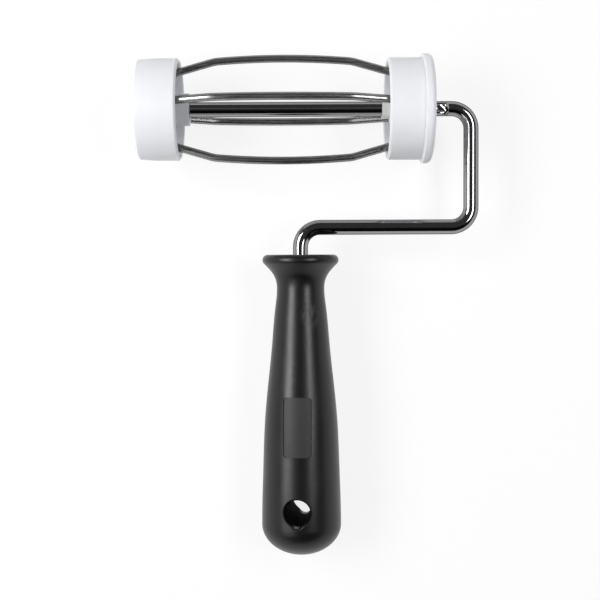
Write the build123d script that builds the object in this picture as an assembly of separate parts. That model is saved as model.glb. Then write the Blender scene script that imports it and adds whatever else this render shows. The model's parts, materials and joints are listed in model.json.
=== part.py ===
from build123d import *
import math
import os

# Hand roller frame: a free-turning wire cage on a bent rod with a moulded handle.
# It takes a slip-on roller sleeve for inking, gluing and burnishing.
#
# The tool is drawn upright first: X along the axle, Y up the handle towards the
# roller, Z to the front, with the handle's axis on Y and the top of its collar at
# Y = 0. The cage is drawn about its own axle. At the end the whole tool is laid on
# its back, on the cage's lowest wire and the handle's belly, and centred.
# All sizes are in millimetres and all angles in degrees.

# ---- the sleeve that the cage takes -------------------------------------------
sleeve_bore = 38.1          # a 1 1/2 in bore
sleeve_slip = 0.3           # how much smaller the caps are, on diameter
seat_length = 105.8         # outer face of the outer cap to the sleeve's stop

# ---- bent rod -------------------------------------------------------------------
rod_diameter = 5.6
rod_bend_radius = 7.4       # on the centreline, the same at all three bends
rod_end_chamfer = 0.5
axle_height = 54.3          # axle above the top of the handle
lower_run_height = 10.2     # crosswise run above the top of the handle
riser_offset = 64.0         # riser from the handle's axis
cage_face_offset = 49.0     # inner cap's outer face from the handle's axis
tang_depth = 66.0           # how far the rod runs down into the handle
tang_fin_span = 8.4         # flattened fins that stop the handle turning
tang_fin_thickness = 1.6
tang_fin_length = 9.0
tang_fin_to_end = 6.0       # fins above the rod's lower end

# ---- staked ears, which stop the cage on the riser's side -------------------------
ear_length = 4.9
ear_rise = 0.75             # above the rod's surface
ear_crest = 1.1             # flat length of the crest
ear_width = 2.2
ear_round = 0.45            # along the crest's edges
ear_tail_sink = 0.35        # the ear's tail runs out this far under the rod's surface
ear_groove_radius = 0.75    # chisel groove along each side of an ear

# ---- cage caps ------------------------------------------------------------------
outer_cap_length = 15.5
inner_cap_length = 16.5     # with its flange
cap_wall = 1.8
cap_web = 2.4               # thickness of each cap's end
lead_in_length = 7.0        # the outer cap tapers here, so that a sleeve starts easily
lead_in_drop = 0.45         # on radius
flange_rise = 1.35          # flange above the caps, on radius
flange_thickness = 3.5
flange_round = 1.9
stop_bevel = 0.3            # at the flange's edge and foot, on the sleeve's side
nose_bevel = 0.7            # the outer cap's outer edge
rim_bevel = 0.7             # the rims' outer edges
inner_bevel = 0.4           # the rims' inner edges
rib_thickness = 1.4
rib_recess = 5.2            # ribs and sockets stop this far inside the rim

# ---- hubs and their bearings ------------------------------------------------------
bearing_clearance = 0.05    # on radius
outer_hub_radius = 6.0
outer_hub_reach = 3.55      # hub past the rim, towards the middle of the cage
outer_bearing_wall = 1.2
inner_hub_wall = 1.8
inner_hub_recess = 1.0      # hub stops this far inside the rim
inner_bearing_wall = 0.65
inner_bearing_reach = 1.9   # bearing past the rim
inner_bearing_proud = 0.4   # bearing past the cap's outer face, where the ears bear
end_play_inner = 0.7
end_play_outer = 0.3

# ---- end of the axle, in a pocket in the outer cap's hub ----------------------------
pocket_radius = 5.2
pocket_depth = 7.6
pocket_wall = 2.0
washer_radius = 4.7
washer_thickness = 0.8
washer_clearance = 0.1      # on radius, over the rod
nut_radius = 4.5
nut_disc = 0.6
nut_collar_wall = 0.7
nut_collar_length = 1.7
nut_round = 0.3             # where the collar rises from the disc
rod_past_nut = 0.5
plug_thickness = 1.1
plug_recess = 0.3           # plug below the cap's outer face
plug_dimple_radius = 2.2
plug_dimple_depth = 0.4

# ---- cage wires -----------------------------------------------------------------------
wire_count = 4
wire_diameter = 2.85
wire_rest_angle = 7.0       # of the front wire, from the front towards the top
wire_crown_rise = 0.5       # crown's centreline outside the caps' radius
wire_shoulder_drop = 1.1    # shoulders' corners inside the crown's centreline
wire_shoulder_inset = 13.0  # shoulders from the rims, towards the middle
wire_entry_drop = 4.4       # centreline inside the caps' radius, in the plane of the rims
wire_foot_inset = 3.6       # where a wire turns parallel to the axle, inside the rim
wire_bow_share = 0.88       # of the run from middle to shoulder, the bow's arc
wire_shoulder_radius = 15.0
wire_foot_radius = 7.0
socket_wall = 1.5
socket_clearance = 0.05     # on radius

# ---- handle -----------------------------------------------------------------------------
handle_length = 113.1
collar_radius = 14.3
collar_round = 2.0
neck_station = 12.6         # stations are measured down from the top of the handle
neck_radius = 8.9
belly_radius = 14.95
grip_curve = [              # shares of the way and of the widening, from neck to belly
    (0.08, 0.11),
    (0.25, 0.34),
    (0.43, 0.62),
    (0.56, 0.79),
    (0.76, 0.91),
]
end_dome = 11.5             # height of the rounded end
handle_roll = 6.5           # the handle sits turned on its rod by this much
hole_radius = 4.7           # hanging hole: round above, drawn in towards the tip
hole_to_tip = 18.4
hole_point_radius = 2.4
hole_point_reach = 5.8      # from the hole's centre to its lowest point
hole_edge_round = 0.6
label_width = 10.5          # bare recess on the front
label_height = 22.2
label_corner = 1.5
label_station = 63.5
label_depth = 0.35

# ---- worked out from the above ------------------------------------------------------------
rod_radius = rod_diameter / 2
wire_radius = wire_diameter / 2
cap_radius = (sleeve_bore - sleeve_slip) / 2
flange_radius = cap_radius + flange_rise
skirt_radius = cap_radius - cap_wall
bearing_bore = rod_radius + bearing_clearance
outer_bearing_radius = bearing_bore + outer_bearing_wall
inner_bearing_radius = bearing_bore + inner_bearing_wall
inner_hub_radius = inner_bearing_radius + inner_hub_wall
pocket_hub_radius = pocket_radius + pocket_wall
crown_radius = cap_radius + wire_crown_rise
shoulder_radius = crown_radius - wire_shoulder_drop
entry_radius = cap_radius - wire_entry_drop
wire_slope = (shoulder_radius - entry_radius) / wire_shoulder_inset
socket_centre = entry_radius - wire_slope * wire_foot_inset
socket_radius = wire_radius + socket_clearance + socket_wall

inner_face_x = cage_face_offset
stop_x = inner_face_x - flange_thickness
inner_rim_x = inner_face_x - inner_cap_length
outer_face_x = stop_x - seat_length
outer_rim_x = outer_face_x + outer_cap_length
cage_middle_x = (outer_rim_x + inner_rim_x) / 2
pocket_floor_x = outer_face_x + pocket_depth
washer_x = pocket_floor_x - end_play_outer
nut_x = washer_x - washer_thickness
rod_end_x = nut_x - nut_disc - nut_collar_length - rod_past_nut
ear_x = inner_face_x + inner_bearing_proud + end_play_inner

belly_station = handle_length - end_dome


def corner_at(sketch, point):
    """The corner of a sketch that lies nearest to a point."""
    return sketch.vertices().sort_by_distance(point)[0]


def turned(outline, rounds=(), bevels=()):
    """Revolve an outline of (along the axle, radius) points about the axle."""
    section_face = make_face(Polyline(*outline, close=True))
    for corner, radius in rounds:
        section_face = fillet(corner_at(section_face, corner), radius)
    for corner, length in bevels:
        section_face = chamfer(corner_at(section_face, corner), length)
    return revolve(section_face, Axis.X)


def tube(start_x, end_x, bore, outer):
    """A plain tube about the axle."""
    return turned([(start_x, bore), (end_x, bore), (end_x, outer), (start_x, outer)])


def around_axle(piece, angle):
    """Turn a piece drawn at the front about the axle, from the front to the top."""
    return Rot(-angle, 0, 0) * piece


def wire_angles():
    return [wire_rest_angle + number * 360 / wire_count for number in range(wire_count)]


def lie_angle():
    """How far the tool tips when it lies on its back on the cage and the belly."""
    wires_reach = [-crown_radius * math.cos(math.radians(angle)) for angle in wire_angles()]
    cage_reach = max(max(wires_reach) + wire_radius, flange_radius)
    return math.degrees(math.asin((cage_reach - belly_radius) / (axle_height + belly_station)))


# ---- the rod ------------------------------------------------------------------------------
def stake_ear():
    """One ear raised from the front of the rod, with its chisel grooves as a cutter."""
    crest_z = rod_radius + ear_rise
    outline = Polyline(
        (ear_x, 0),
        (ear_x, crest_z),
        (ear_x + ear_crest, crest_z),
        (ear_x + ear_length, rod_radius - ear_tail_sink),
        (ear_x + ear_length, 0),
        close=True,
    )
    side = Plane.XZ * make_face(outline)
    ear = extrude(side, amount=ear_width / 2, both=True)
    crest_edges = ear.edges().filter_by(Axis.X).group_by(Axis.Z)[-1]
    ear = fillet(crest_edges, ear_round)
    groove = extrude(Plane.YZ * Circle(ear_groove_radius), amount=ear_length - ear_crest)
    groove_y = ear_width / 2 + ear_groove_radius
    grooves = [Pos(ear_x + ear_crest / 2, side_y, rod_radius) * groove for side_y in (groove_y, -groove_y)]
    return ear, grooves


def frame_rod():
    """The whole rod: axle, riser, crosswise run and the tang inside the handle."""
    route = FilletPolyline(
        (rod_end_x, axle_height),
        (riser_offset, axle_height),
        (riser_offset, lower_run_height),
        (0, lower_run_height),
        (0, -tang_depth),
        radius=rod_bend_radius,
    )
    rod = sweep(Plane(route @ 0, z_dir=route % 0) * Circle(rod_radius), path=route)
    rod_ends = [rod.faces().sort_by(Axis.X)[0], rod.faces().sort_by(Axis.Y)[0]]
    for rod_end in rod_ends:
        rod = chamfer(rod_end.edges(), rod_end_chamfer)
    on_axle = Pos(0, axle_height, 0)
    ear, grooves = stake_ear()
    for turn in (0, 180):
        for groove in grooves:
            rod -= on_axle * Rot(turn, 0, 0) * groove
        rod += on_axle * Rot(turn, 0, 0) * ear
    fins = Box(tang_fin_span, tang_fin_length, tang_fin_thickness)
    fins = chamfer(fins.edges().filter_by(Axis.Z), tang_fin_thickness)
    fins_y = -tang_depth + tang_fin_to_end + tang_fin_length / 2
    return rod + Pos(0, fins_y, 0) * fins


def axle_washer():
    return tube(washer_x - washer_thickness, washer_x, rod_radius + washer_clearance, washer_radius)


def push_nut():
    """Spring cap pushed on the axle's end: a disc with a short gripping collar."""
    disc_x = nut_x - nut_disc
    collar_x = disc_x - nut_collar_length
    collar_radius_outer = rod_radius + nut_collar_wall
    outline = [
        (nut_x, rod_radius),
        (nut_x, nut_radius),
        (disc_x, nut_radius),
        (disc_x, collar_radius_outer),
        (collar_x, collar_radius_outer),
        (collar_x, rod_radius),
    ]
    return turned(outline, [((disc_x, collar_radius_outer), nut_round)])


# ---- the cage -----------------------------------------------------------------------------
def ribs_and_sockets(web_x, top_x, hub_radius):
    """A socket for each wire, and a radial rib through each from hub to skirt."""
    height = abs(top_x - web_x)
    middle_x = (top_x + web_x) / 2
    reach = (skirt_radius + cap_wall / 2) - (hub_radius - rib_thickness / 2)
    rib = Pos(middle_x, 0, hub_radius - rib_thickness / 2 + reach / 2) * Box(height, rib_thickness, reach)
    socket = Pos(middle_x, 0, socket_centre) * Rot(0, 90, 0) * Cylinder(socket_radius, height)
    return [around_axle(piece, angle) for angle in wire_angles() for piece in (rib, socket)]


def socket_holes(web_x, top_x):
    """The wires' holes, from the web to the mouth of each socket."""
    middle_x = (top_x + web_x) / 2
    hole = Rot(0, 90, 0) * Cylinder(wire_radius + socket_clearance, abs(top_x - web_x))
    return [around_axle(Pos(middle_x, 0, socket_centre) * hole, angle) for angle in wire_angles()]


def finished_cap(shell, web_x, rim_x, hub_radius):
    """Add a cap's ribs and sockets to its turned shell."""
    inwards = math.copysign(1, rim_x - web_x)
    top_x = rim_x - inwards * rib_recess
    cap = shell
    for piece in ribs_and_sockets(web_x, top_x, hub_radius):
        cap += piece
    for hole in socket_holes(web_x, top_x):
        cap -= hole
    return cap


def outer_end_cap():
    """Cup-shaped cap with a tapered nose, open towards the middle of the cage."""
    lead_radius = cap_radius - lead_in_drop
    web_x = outer_face_x + cap_web
    hub_end_x = outer_rim_x + outer_hub_reach
    hub_step_x = pocket_floor_x + pocket_wall
    outline = [
        (outer_face_x, pocket_radius),
        (outer_face_x, lead_radius),
        (outer_face_x + lead_in_length, cap_radius),
        (outer_rim_x, cap_radius),
        (outer_rim_x, skirt_radius),
        (web_x, skirt_radius),
        (web_x, pocket_hub_radius),
        (hub_step_x, pocket_hub_radius),
        (hub_step_x, outer_hub_radius),
        (hub_end_x, outer_hub_radius),
        (hub_end_x, outer_bearing_radius),
        (pocket_floor_x, outer_bearing_radius),
        (pocket_floor_x, pocket_radius),
    ]
    bevels = [
        ((outer_face_x, lead_radius), nose_bevel),
        ((outer_rim_x, cap_radius), rim_bevel),
        ((outer_rim_x, skirt_radius), inner_bevel),
    ]
    return finished_cap(turned(outline, bevels=bevels), web_x, outer_rim_x, pocket_hub_radius)


def inner_end_cap():
    """Cup-shaped cap with the flange that stops the sleeve."""
    web_x = inner_face_x - cap_web
    hub_end_x = inner_rim_x + inner_hub_recess
    outline = [
        (inner_face_x, inner_bearing_radius),
        (inner_face_x, flange_radius),
        (stop_x, flange_radius),
        (stop_x, cap_radius),
        (inner_rim_x, cap_radius),
        (inner_rim_x, skirt_radius),
        (web_x, skirt_radius),
        (web_x, inner_hub_radius),
        (hub_end_x, inner_hub_radius),
        (hub_end_x, inner_bearing_radius),
    ]
    rounds = [((inner_face_x, flange_radius), flange_round)]
    bevels = [
        ((stop_x, flange_radius), stop_bevel),
        ((stop_x, cap_radius), stop_bevel),
        ((inner_rim_x, cap_radius), rim_bevel),
        ((inner_rim_x, skirt_radius), inner_bevel),
    ]
    return finished_cap(turned(outline, rounds, bevels), web_x, inner_rim_x, inner_hub_radius)


def outer_bearing():
    return tube(pocket_floor_x, outer_rim_x + outer_hub_reach, bearing_bore, outer_bearing_radius)


def inner_bearing():
    start_x = inner_rim_x - inner_bearing_reach
    return tube(start_x, inner_face_x + inner_bearing_proud, bearing_bore, inner_bearing_radius)


def hub_plug():
    """Disc that closes the pocket over the axle's end, with a moulded dimple."""
    face_x = outer_face_x + plug_recess
    back_x = face_x + plug_thickness
    floor_x = face_x + plug_dimple_depth
    outline = [
        (back_x, 0),
        (back_x, pocket_radius),
        (face_x, pocket_radius),
        (face_x, plug_dimple_radius),
        (floor_x, plug_dimple_radius - plug_dimple_depth),
        (floor_x, 0),
    ]
    return turned(outline)


def cage_wire(angle):
    """One bowed spring wire, with a straight foot in a socket at each end."""
    half_span = (inner_rim_x - outer_rim_x) / 2
    shoulder_x = half_span - wire_shoulder_inset
    bow_corner = wire_shoulder_drop / (1 - wire_bow_share / 2)
    bow_radius = wire_bow_share * shoulder_x / math.sin(math.atan(bow_corner / shoulder_x))
    foot_x = half_span + wire_foot_inset
    ends_x = (outer_face_x + cap_web - cage_middle_x, inner_face_x - cap_web - cage_middle_x)
    route = FilletPolyline(
        (ends_x[0], socket_centre),
        (-foot_x, socket_centre),
        (-shoulder_x, shoulder_radius),
        (0, shoulder_radius + bow_corner),
        (shoulder_x, shoulder_radius),
        (foot_x, socket_centre),
        (ends_x[1], socket_centre),
        radius=[wire_foot_radius, wire_shoulder_radius, bow_radius, wire_shoulder_radius, wire_foot_radius],
    )
    route = Plane.XZ * route
    wire = sweep(Plane(route @ 0, z_dir=route % 0) * Circle(wire_radius), path=route)
    return around_axle(Pos(cage_middle_x, 0, 0) * wire, angle)


# ---- the handle ---------------------------------------------------------------------------
def grip(slimmer=0):
    """The handle's turned body, before its bore, hole and recess, or a slimmer copy of it."""
    neck = neck_radius - slimmer
    belly = belly_radius - slimmer
    way = belly_station - neck_station
    swell = [(neck + wide * (belly - neck), -neck_station - down * way) for down, wide in grip_curve]
    with BuildSketch() as half_section:
        with BuildLine():
            top = Line((0, 0), (collar_radius - slimmer - collar_round, 0))
            collar = JernArc(top @ 1, tangent=(1, 0), radius=collar_round, arc_size=-135)
            throat = Spline(collar @ 1, (neck, -neck_station), tangents=[collar % 1, (0, -1)])
            Spline(throat @ 1, *swell, (belly, -belly_station), tangents=[(0, -1), (0, -1)])
            EllipticalCenterArc((0, -belly_station), belly, end_dome, start_angle=270, arc_size=90)
            Line((0, -handle_length), (0, 0))
        make_face()
    return revolve(half_section.sketch, Axis.Y)


def hanging_hole():
    """The hole's cutter: a round that draws in towards the tip of the handle."""
    point_centre = hole_point_reach - hole_point_radius
    with BuildSketch() as outline:
        with BuildLine():
            CenterArc((0, 0), hole_radius, 0, 360)
            CenterArc((0, -point_centre), hole_point_radius, 0, 360)
        make_hull()
    return extrude(outline.sketch, amount=2 * belly_radius, both=True)


def label_recess():
    """Cutter for the shallow recess on the front, whose floor runs parallel to the grip."""
    outline = Pos(0, -label_station, 0) * RectangleRounded(label_width, label_height, label_corner)
    return extrude(outline, amount=2 * belly_radius) - grip(slimmer=label_depth)


def bored_for_hanging(body):
    """Cut the hanging hole through the body and round both of its mouths."""
    hole_y = -(handle_length - hole_to_tip)
    bored = body - Pos(0, hole_y, 0) * hanging_hole()
    mouth_edges = []
    for edge in bored.edges():
        middle = edge.center()
        near_hole = abs(middle.Y - hole_y) < hole_point_reach + hole_edge_round
        if near_hole and abs(middle.X) < hole_radius and abs(middle.Z) > hole_radius:
            mouth_edges.append(edge)
    return fillet(mouth_edges, hole_edge_round)


def handle(rod):
    """The moulded handle, pressed on the rod's tang."""
    body = bored_for_hanging(grip()) - label_recess()
    return Rot(0, -handle_roll, 0) * body - rod


# ---- assembly -----------------------------------------------------------------------------
rod = frame_rod()
on_axle = Pos(0, axle_height, 0)
pieces = {
    "handle": handle(rod),
    "frame_rod": rod,
    "axle_washer": on_axle * axle_washer(),
    "push_nut": on_axle * push_nut(),
    "outer_end_cap": on_axle * outer_end_cap(),
    "inner_end_cap": on_axle * inner_end_cap(),
    "outer_bearing": on_axle * outer_bearing(),
    "inner_bearing": on_axle * inner_bearing(),
    "hub_plug": on_axle * hub_plug(),
}
for number, angle in enumerate(wire_angles(), start=1):
    pieces[f"cage_wire_{number}"] = on_axle * cage_wire(angle)

laid_down = {node: Rot(lie_angle(), 0, 0) * piece for node, piece in pieces.items()}
whole = Compound(list(laid_down.values())).bounding_box()
middle = whole.center()
to_bench = Pos(-middle.X, -middle.Y, -whole.min.Z)

os.makedirs("parts", exist_ok=True)
for node, piece in laid_down.items():
    export_step(to_bench * piece, f"parts/{node}.step")
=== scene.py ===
"""Looks for a hand roller frame: a free-turning wire cage on a bent rod with a moulded handle."""

import json
import math

import bmesh
import bpy
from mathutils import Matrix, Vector


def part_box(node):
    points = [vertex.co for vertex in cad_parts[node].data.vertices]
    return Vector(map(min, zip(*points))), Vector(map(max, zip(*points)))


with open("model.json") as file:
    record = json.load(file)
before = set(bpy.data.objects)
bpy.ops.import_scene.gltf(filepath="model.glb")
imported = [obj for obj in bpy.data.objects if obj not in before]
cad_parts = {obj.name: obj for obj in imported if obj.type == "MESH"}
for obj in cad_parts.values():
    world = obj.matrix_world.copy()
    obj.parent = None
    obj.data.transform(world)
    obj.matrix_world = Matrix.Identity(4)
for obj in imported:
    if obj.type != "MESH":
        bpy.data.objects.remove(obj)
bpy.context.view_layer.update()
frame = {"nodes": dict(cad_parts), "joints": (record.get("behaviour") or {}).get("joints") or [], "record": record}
NODES = frame["nodes"]
AXLE = Vector(frame["joints"][0]["pos_m"])

# Camera, in metres and degrees, with its lens in millimetres: it looks straight down on the
# tool as it lies.
CAMERA_ABOVE_AXLE = 0.430
CAMERA_BELOW_AXLE = 0.0713
CAMERA_ACROSS = -0.0035
CAMERA_ROLL = -0.25
LENS = 69.0
SENSOR = 36.0
NEAREST_SEEN = 0.01
FARTHEST_SEEN = 10.0

# Soft boxes left and right of the camera, and a dim one low on the left: the tilt from
# straight up, the distance, the size, the centre along Y and the radiance.
LEFT_BOX = {
    "tilt": -43.0,
    "distance": 0.72,
    "width": 0.26,
    "length": 0.50,
    "y": 0.11,
    "radiance": 10.9,
}
RIGHT_BOX = {
    "tilt": 31.0,
    "distance": 0.72,
    "width": 0.18,
    "length": 0.50,
    "y": 0.11,
    "radiance": 8.6,
}
LEFT_FILL = {
    "tilt": -40.0,
    "distance": 0.75,
    "width": 0.50,
    "length": 0.46,
    "y": -0.36,
    "radiance": 1.5,
}

# The room's two strengths, and how far along Y a direction points at each.
ROOM_DARK = 0.006
ROOM_GREY = 0.07
ROOM_DARK_Y = -0.45
ROOM_GREY_Y = -0.1

# How far a mask takes to fade, in metres. The last one runs forward from the handle's middle.
SHORT_FADE = 0.0001
SOFT_FADE = 0.001
FRONT_FADE = 0.004

# Marks on the handle, from its hanging hole, in metres.
HOLE_TO_LABEL = 0.0312
LABEL_HALF_WIDTH = 0.0051
LABEL_HALF_HEIGHT = 0.0110
LABEL_CORNER = 0.0014
HOLE_TO_SCUFF = 0.0725
SCUFF_ACROSS = 0.0062
SCUFF_FORWARD = 0.011
SCUFF_CORE = 0.002
SCUFF_EDGE = 0.006
PARTING_HALF_WIDTH = 0.00002
PARTING_DEPTH = 0.00006

# The hanging hole's rough wall, whose reflection is taken out as painted shade. The lip is in metres beyond the
# hole's radius, and the taper reaches some hole radii across and a half depth in metres to either side of the
# middle.
LIP_REACH = 0.0002
LIP_EDGE = 0.0010
TAPER_REACH = 1.5
TAPER_EDGE = 1.6
TAPER_HALF_DEPTH = 0.0105

# Staked ears on the rod, beyond the flanged cap's outer face, in metres.
FACE_TO_EARS = 0.0035
EARS_HALF_LENGTH = 0.0018
EARS_HALF_WIDTH = 0.0040

# Floor and the low pale wall round it.
FLOOR_RADIUS = 1.9
WALL_HEIGHT = 0.62
COVE_RADIUS = 0.25
COVE_STEPS = 10
FLOOR_SIDES = 96
FLOOR_DARK = (0.93, 0.93, 0.93, 1.0)
FLOOR_LIGHT = (0.96, 0.96, 0.96, 1.0)
FLOOR_LIFT = 0.84

WHITE = (1.0, 1.0, 1.0, 1.0)
STEEL_EDGE_TINT = (0.1, 0.1, 0.1, 1.0)
MM_PER_METRE = 1000
X_AXIS = Vector((1, 0, 0))
Y_AXIS = Vector((0, 1, 0))

# The middle part of a noise texture's range, and the value at its centre.
NOISE_LOW = 0.3
NOISE_HIGH = 0.7
NOISE_CENTRE = 0.50

# The colour sockets of a Mix node, which come after its float and vector ones.
MIX_FIRST = 6
MIX_SECOND = 7
MIX_RESULT = 2


# ---- shader helpers ---------------------------------------------------------------------
def add_node(tree, kind, inputs=None, **attributes):
    """Add a shader node, set its attributes, and link or set its inputs."""
    node = tree.nodes.new(kind)
    for name, value in attributes.items():
        setattr(node, name, value)
    for name, value in (inputs or {}).items():
        if isinstance(value, bpy.types.NodeSocket):
            tree.links.new(value, node.inputs[name])
        else:
            node.inputs[name].default_value = value
    return node


def new_material(name, **sockets):
    """A Principled material with its even values set on the shader's own sockets."""
    material = bpy.data.materials.new(name)
    material.use_nodes = True
    tree = material.node_tree
    shader = tree.nodes["Principled BSDF"]
    for socket, value in sockets.items():
        shader.inputs[socket.replace("_", " ")].default_value = value
    return material, tree, shader


def connect(tree, shader, **sources):
    """Link varying values to a shader's sockets."""
    for socket, source in sources.items():
        tree.links.new(source, shader.inputs[socket.replace("_", " ")])


def coordinates(tree, scale=(1.0, 1.0, 1.0)):
    """Object coordinates in metres, scaled along the scene's axes."""
    place = add_node(tree, "ShaderNodeTexCoord")
    inputs = {"Vector": place.outputs["Object"], "Scale": scale}
    return add_node(tree, "ShaderNodeMapping", inputs).outputs["Vector"]


def noise(tree, vector, scale, detail):
    """Noise whose scale counts features per metre."""
    inputs = {"Vector": vector, "Scale": scale, "Detail": detail, "Roughness": 0.55}
    return add_node(tree, "ShaderNodeTexNoise", inputs).outputs["Fac"]


def remap(tree, value, low, high, new_low, new_high):
    """Map a value from one range to another, and stop it at the new range's ends."""
    inputs = {
        "Value": value,
        "From Min": low,
        "From Max": high,
        "To Min": new_low,
        "To Max": new_high,
    }
    return add_node(tree, "ShaderNodeMapRange", inputs).outputs["Result"]


def from_noise(tree, value, new_low, new_high):
    """Spread the middle part of a noise over a new range."""
    return remap(tree, value, NOISE_LOW, NOISE_HIGH, new_low, new_high)


def blend_colour(tree, factor, first, second):
    """Mix two colours, or two sockets that carry colours."""
    inputs = {"Factor": factor, MIX_FIRST: first, MIX_SECOND: second}
    return add_node(tree, "ShaderNodeMix", inputs, data_type="RGBA").outputs[MIX_RESULT]


def bump(tree, height, distance, strength=1.0, under=None):
    """A normal from a height, on top of another normal if one is given."""
    inputs = {"Height": height, "Distance": distance, "Strength": strength}
    if under is not None:
        inputs["Normal"] = under
    return add_node(tree, "ShaderNodeBump", inputs).outputs["Normal"]


def combine(tree, operation, first, second, clamp=False):
    """Math on two values or sockets."""
    inputs = {0: first, 1: second}
    node = add_node(tree, "ShaderNodeMath", inputs, operation=operation, use_clamp=clamp)
    return node.outputs[0]


def alone(tree, operation, value):
    """Math on one value or socket."""
    return add_node(tree, "ShaderNodeMath", {0: value}, operation=operation).outputs[0]


def along_axis(tree, vector, origin, axis):
    """Distance of each point from an origin, along an axis."""
    inputs = {0: vector, 1: origin}
    apart = add_node(tree, "ShaderNodeVectorMath", inputs, operation="SUBTRACT").outputs[0]
    inputs = {0: apart, 1: axis}
    node = add_node(tree, "ShaderNodeVectorMath", inputs, operation="DOT_PRODUCT")
    return node.outputs["Value"]


def near_zero(tree, value, reach, fade):
    """1 where a value lies within reach of zero, falling to 0 over a further fade."""
    size = alone(tree, "ABSOLUTE", value)
    return remap(tree, size, reach, reach + fade, 1.0, 0.0)


def past_edge(tree, value, edge):
    """How far a value lies beyond an edge on either side of zero, or 0 within it."""
    size = alone(tree, "ABSOLUTE", value)
    return combine(tree, "MAXIMUM", combine(tree, "SUBTRACT", size, edge), 0.0)


def diagonal(tree, first, second):
    """Length of the hypotenuse over two sides."""
    first_square = combine(tree, "MULTIPLY", first, first)
    second_square = combine(tree, "MULTIPLY", second, second)
    return alone(tree, "SQRT", combine(tree, "ADD", first_square, second_square))


# ---- materials --------------------------------------------------------------------------
def handle_plastic():
    """Black moulded polypropylene: low sheen, fine grain, a parting line, a few scuffs, a painted sheen on the
    label recess and painted shade in the hanging hole.
    """
    material, tree, shader = new_material("black_polypropylene", IOR=1.45)
    hole = next(mount for mount in frame["record"]["mounts"] if mount["name"] == "hanging_hole")
    centre = Vector(hole["pos_m"])
    front = Vector(hole["axis"]).normalized()
    across = (X_AXIS - front * front.x).normalized()
    down = across.cross(front)
    place = coordinates(tree)
    to_front = along_axis(tree, place, centre, front)

    # The recess's floor was spark eroded, so it is duller and rougher than the polished grip, and its colour is
    # lifted to a lighter grey as a painted sheen.
    label = centre - down * HOLE_TO_LABEL
    beside_label = along_axis(tree, place, label, across)
    below_label = along_axis(tree, place, label, down)
    past_side = past_edge(tree, beside_label, LABEL_HALF_WIDTH - LABEL_CORNER)
    past_end = past_edge(tree, below_label, LABEL_HALF_HEIGHT - LABEL_CORNER)
    past_core = diagonal(tree, past_side, past_end)
    in_outline = remap(tree, past_core, LABEL_CORNER, LABEL_CORNER + SHORT_FADE, 1.0, 0.0)
    in_front = remap(tree, to_front, 0.0, FRONT_FADE, 0.0, 1.0)
    eroded_with_sheen = combine(tree, "MULTIPLY", in_outline, in_front)

    # Fine curved scuffs lie beside the neck.
    worn = centre - down * HOLE_TO_SCUFF + across * SCUFF_ACROSS + front * SCUFF_FORWARD
    apart = add_node(tree, "ShaderNodeVectorMath", {0: place, 1: worn}, operation="DISTANCE")
    worn_area = remap(tree, apart.outputs["Value"], SCUFF_CORE, SCUFF_EDGE, 1.0, 0.0)
    swirl = noise(tree, place, scale=150.0, detail=1.0)
    off_centre = combine(tree, "SUBTRACT", swirl, NOISE_CENTRE)
    line = near_zero(tree, off_centre, reach=0.006, fade=0.020)
    scuff = combine(tree, "MULTIPLY", line, worn_area)

    # The hanging hole's wall is left rough, and its reflection is taken out by the specular tint, a painted shade
    # that keeps the hole black.
    hole_radius = hole["dims"]["r_mm"] / MM_PER_METRE
    aside = along_axis(tree, place, centre, across)
    below = along_axis(tree, place, centre, down)
    reach = diagonal(tree, aside, below)
    at_round = remap(tree, reach, hole_radius + LIP_REACH, hole_radius + LIP_EDGE, 1.0, 0.0)
    in_reach = remap(tree, reach, TAPER_REACH * hole_radius, TAPER_EDGE * hole_radius, 1.0, 0.0)
    in_depth = near_zero(tree, to_front, TAPER_HALF_DEPTH, SOFT_FADE)
    rough_hole_with_shade = combine(tree, "MAXIMUM", at_round, combine(tree, "MULTIPLY", in_reach, in_depth))
    # Painted shade: the specular tint falls to 0 on the hanging hole's wall.
    connect(tree, shader, Specular_Tint=remap(tree, rough_hole_with_shade, 0.0, 1.0, 1.0, 0.0))

    patches = noise(tree, place, scale=90.0, detail=4.0)
    grain = noise(tree, place, scale=2600.0, detail=2.0)
    grip_dark = (0.0020, 0.0020, 0.0022, 1.0)
    grip_light = (0.0040, 0.0040, 0.0042, 1.0)
    painted_sheen_grey = (0.022, 0.022, 0.0225, 1.0)
    scuff_grey = (0.035, 0.035, 0.035, 1.0)
    colour = blend_colour(tree, patches, grip_dark, grip_light)
    # Painted sheen: the label recess is given a lighter grey than the grip.
    colour = blend_colour(tree, eroded_with_sheen, colour, painted_sheen_grey)
    colour = blend_colour(tree, scuff, colour, scuff_grey)

    rough = from_noise(tree, patches, new_low=0.32, new_high=0.38)
    for mask, added in ((eroded_with_sheen, 0.20), (scuff, 0.20), (rough_hole_with_shade, 0.70)):
        rough = combine(tree, "ADD", rough, combine(tree, "MULTIPLY", mask, added), clamp=True)

    parting = near_zero(tree, to_front, PARTING_HALF_WIDTH, SHORT_FADE)
    ridge = bump(tree, parting, distance=PARTING_DEPTH, strength=0.8)
    relief = bump(tree, grain, distance=0.00002, strength=0.35, under=ridge)
    connect(tree, shader, Base_Color=colour, Roughness=rough, Normal=relief)
    return material


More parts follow.
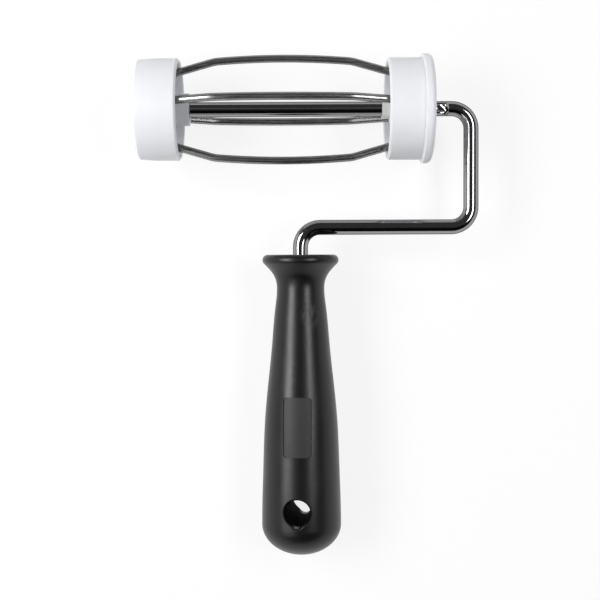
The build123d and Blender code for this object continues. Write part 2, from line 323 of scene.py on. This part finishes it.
def plated_rod():
    """Bright plate on drawn rod, with a little waviness and fine wear."""
    material, tree, shader = new_material(
        "bright_plate",
        Metallic=1.0,
        Specular_Tint=STEEL_EDGE_TINT,
    )
    place = coordinates(tree)
    wear = noise(tree, place, scale=700.0, detail=5.0)
    wave = noise(tree, place, scale=180.0, detail=2.0)
    colour = blend_colour(tree, wear, (0.29, 0.29, 0.295, 1.0), (0.38, 0.38, 0.385, 1.0))
    rough = remap(tree, wear, low=0.35, high=0.75, new_low=0.05, new_high=0.12)

    # The staked ears keep the marks of the tool that raised them.
    cap_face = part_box("inner_end_cap")[1].x
    ears = Vector((cap_face + FACE_TO_EARS, AXLE.y, AXLE.z))
    beyond_cap = along_axis(tree, place, ears, X_AXIS)
    beside_axle = along_axis(tree, place, ears, Y_AXIS)
    in_length = near_zero(tree, beyond_cap, EARS_HALF_LENGTH, SOFT_FADE)
    in_width = near_zero(tree, beside_axle, EARS_HALF_WIDTH, SOFT_FADE)
    at_ears = combine(tree, "MULTIPLY", in_length, in_width)
    dents = noise(tree, place, scale=330.0, detail=0.0)
    hammered = combine(tree, "MULTIPLY", dents, at_ears)
    waviness = bump(tree, wave, distance=0.00003, strength=0.25)
    relief = bump(tree, hammered, distance=0.0012, under=waviness)
    connect(tree, shader, Base_Color=colour, Roughness=rough, Normal=relief)
    return material


def drawn_wire():
    """Dark drawn spring wire with fine lines along its length."""
    material, tree, shader = new_material(
        "drawn_spring_wire",
        Metallic=1.0,
        Specular_Tint=STEEL_EDGE_TINT,
    )
    long_in_x = coordinates(tree, scale=(0.02, 1.0, 1.0))
    lines = noise(tree, long_in_x, scale=2400.0, detail=3.0)
    stain = noise(tree, coordinates(tree), scale=260.0, detail=4.0)
    colour = blend_colour(tree, stain, (0.23, 0.235, 0.23, 1.0), (0.38, 0.385, 0.375, 1.0))
    rough = from_noise(tree, lines, new_low=0.22, new_high=0.34)
    relief = bump(tree, lines, distance=0.00002, strength=0.3)
    connect(tree, shader, Base_Color=colour, Roughness=rough, Normal=relief)
    return material


def cap_plastic():
    """White moulded polypropylene, satin, a touch cool and slightly translucent."""
    material, tree, shader = new_material(
        "white_polypropylene",
        IOR=1.49,
        Subsurface_Weight=0.30,
        Subsurface_Radius=(0.0030, 0.0031, 0.0034),
        Subsurface_Scale=1.0,
    )
    place = coordinates(tree)
    clouds = noise(tree, place, scale=120.0, detail=3.0)
    grain = noise(tree, place, scale=2200.0, detail=2.0)
    colour = blend_colour(tree, clouds, (0.76, 0.775, 0.81, 1.0), (0.81, 0.82, 0.845, 1.0))
    rough = from_noise(tree, clouds, new_low=0.44, new_high=0.54)
    relief = bump(tree, grain, distance=0.00002, strength=0.25)
    connect(tree, shader, Base_Color=colour, Roughness=rough, Normal=relief)
    return material


def bearing_nylon():
    """Natural nylon: slightly glossy and creamy."""
    material, tree, shader = new_material(
        "natural_nylon",
        IOR=1.53,
        Subsurface_Weight=0.25,
        Subsurface_Radius=(0.0020, 0.0018, 0.0015),
        Subsurface_Scale=1.0,
    )
    clouds = noise(tree, coordinates(tree), scale=400.0, detail=3.0)
    colour = blend_colour(tree, clouds, (0.74, 0.74, 0.72, 1.0), (0.82, 0.82, 0.80, 1.0))
    rough = from_noise(tree, clouds, new_low=0.18, new_high=0.28)
    connect(tree, shader, Base_Color=colour, Roughness=rough)
    return material


def plain_steel(name, dark, light, rough_low, rough_high):
    """Small steel fittings: zinc plate or oiled spring steel."""
    material, tree, shader = new_material(name, Metallic=1.0)
    spots = noise(tree, coordinates(tree), scale=900.0, detail=4.0)
    colour = blend_colour(tree, spots, dark, light)
    rough = from_noise(tree, spots, rough_low, rough_high)
    connect(tree, shader, Base_Color=colour, Roughness=rough)
    return material


def dress_nodes():
    """Give every CAD node its material, by the record's slot."""
    by_slot = {
        "handle_plastic": handle_plastic(),
        "plated_rod": plated_rod(),
        "drawn_wire": drawn_wire(),
        "cap_plastic": cap_plastic(),
        "bearing_nylon": bearing_nylon(),
        "zinc_steel": plain_steel(
            "zinc_plate",
            dark=(0.50, 0.51, 0.53, 1.0),
            light=(0.64, 0.65, 0.66, 1.0),
            rough_low=0.22,
            rough_high=0.36,
        ),
        "spring_steel": plain_steel(
            "oiled_spring_steel",
            dark=(0.20, 0.21, 0.22, 1.0),
            light=(0.32, 0.33, 0.34, 1.0),
            rough_low=0.25,
            rough_high=0.4,
        ),
    }
    for part in frame["record"]["subparts"]:
        piece = NODES[part["node"]]
        piece.data.materials.clear()
        piece.data.materials.append(by_slot[part["material_slot"]])
        for face in piece.data.polygons:
            face.material_index = 0


# ---- studio -----------------------------------------------------------------------------
def floor_material():
    """Pale matt floor that meets the camera as white and keeps a soft shadow."""
    material = bpy.data.materials.new("pale_floor")
    material.use_nodes = True
    tree = material.node_tree
    tree.nodes.clear()
    grain = noise(tree, coordinates(tree), scale=60.0, detail=4.0)
    colour = blend_colour(tree, grain, FLOOR_DARK, FLOOR_LIGHT)
    matt = add_node(tree, "ShaderNodeBsdfDiffuse", {"Color": colour})
    glow = add_node(tree, "ShaderNodeEmission", {"Color": WHITE, "Strength": 1.0})
    ray = add_node(tree, "ShaderNodeLightPath").outputs
    seen = combine(tree, "ADD", ray["Is Camera Ray"], ray["Is Glossy Ray"])
    seen = combine(tree, "ADD", seen, ray["Is Transmission Ray"], clamp=True)
    share = combine(tree, "MULTIPLY", seen, FLOOR_LIFT)
    inputs = {"Fac": share, 1: matt.outputs[0], 2: glow.outputs[0]}
    mixed = add_node(tree, "ShaderNodeMixShader", inputs)
    add_node(tree, "ShaderNodeOutputMaterial", {"Surface": mixed.outputs[0]})
    return material


def make_floor():
    """A round floor that curves up into a low wall, turned from one profile."""
    flat_radius = FLOOR_RADIUS - COVE_RADIUS
    profile = [(flat_radius, 0.0)]
    for step in range(1, COVE_STEPS + 1):
        angle = math.radians(90 * step / COVE_STEPS)
        across = flat_radius + COVE_RADIUS * math.sin(angle)
        profile.append((across, COVE_RADIUS * (1 - math.cos(angle))))
    profile.append((FLOOR_RADIUS, WALL_HEIGHT))
    mesh = bmesh.new()
    centre = mesh.verts.new((0, 0, 0))
    rings = []
    for across, up in profile:
        ring = []
        for side in range(FLOOR_SIDES):
            angle = 2 * math.pi * side / FLOOR_SIDES
            point = (across * math.cos(angle), across * math.sin(angle), up)
            ring.append(mesh.verts.new(point))
        rings.append(ring)
    for side in range(FLOOR_SIDES):
        after = (side + 1) % FLOOR_SIDES
        mesh.faces.new((centre, rings[0][side], rings[0][after]))
        for inner, outer in zip(rings, rings[1:]):
            mesh.faces.new((inner[side], outer[side], outer[after], inner[after]))
    data = bpy.data.meshes.new("studio_floor")
    mesh.to_mesh(data)
    mesh.free()
    for face in data.polygons:
        face.use_smooth = True
    floor = bpy.data.objects.new("studio_floor", data)
    bpy.context.scene.collection.objects.link(floor)
    data.materials.append(floor_material())


def soft_box(name, settings):
    """An area lamp of a stated radiance, turned to face the tool."""
    lamp = bpy.data.lights.new(name, "AREA")
    lamp.shape = "RECTANGLE"
    lamp.size = settings["width"]
    lamp.size_y = settings["length"]
    lamp.energy = settings["radiance"] * math.pi * settings["width"] * settings["length"]
    tilt = math.radians(settings["tilt"])
    holder = bpy.data.objects.new(name, lamp)
    holder.location = (
        settings["distance"] * math.sin(tilt),
        settings["y"],
        settings["distance"] * math.cos(tilt),
    )
    holder.rotation_euler = (0, tilt, 0)
    bpy.context.scene.collection.objects.link(holder)


def make_studio():
    """The floor, the soft boxes, and a dim room that is a little lighter beyond the roller."""
    world = bpy.data.worlds.new("studio")
    world.use_nodes = True
    tree = world.node_tree
    place = add_node(tree, "ShaderNodeTexCoord")
    parts = add_node(tree, "ShaderNodeSeparateXYZ", {"Vector": place.outputs["Generated"]})
    glow = remap(tree, parts.outputs["Y"], ROOM_DARK_Y, ROOM_GREY_Y, ROOM_DARK, ROOM_GREY)
    backdrop = tree.nodes["Background"]
    backdrop.inputs["Color"].default_value = WHITE
    connect(tree, backdrop, Strength=glow)
    bpy.context.scene.world = world
    make_floor()
    soft_box("left_soft_box", LEFT_BOX)
    soft_box("right_soft_box", RIGHT_BOX)
    soft_box("left_fill", LEFT_FILL)


def make_camera():
    """A camera above the tool, turned a little to the photograph's framing."""
    data = bpy.data.cameras.new("camera")
    data.lens = LENS
    data.sensor_width = SENSOR
    data.clip_start = NEAREST_SEEN
    data.clip_end = FARTHEST_SEEN
    camera = bpy.data.objects.new("camera", data)
    camera.location = (
        CAMERA_ACROSS,
        AXLE.y - CAMERA_BELOW_AXLE,
        AXLE.z + CAMERA_ABOVE_AXLE,
    )
    camera.rotation_euler = (0, 0, math.radians(CAMERA_ROLL))
    bpy.context.scene.collection.objects.link(camera)
    bpy.context.scene.camera = camera


make_camera()
dress_nodes()
make_studio()
bpy.context.scene.view_settings.view_transform = "Standard"
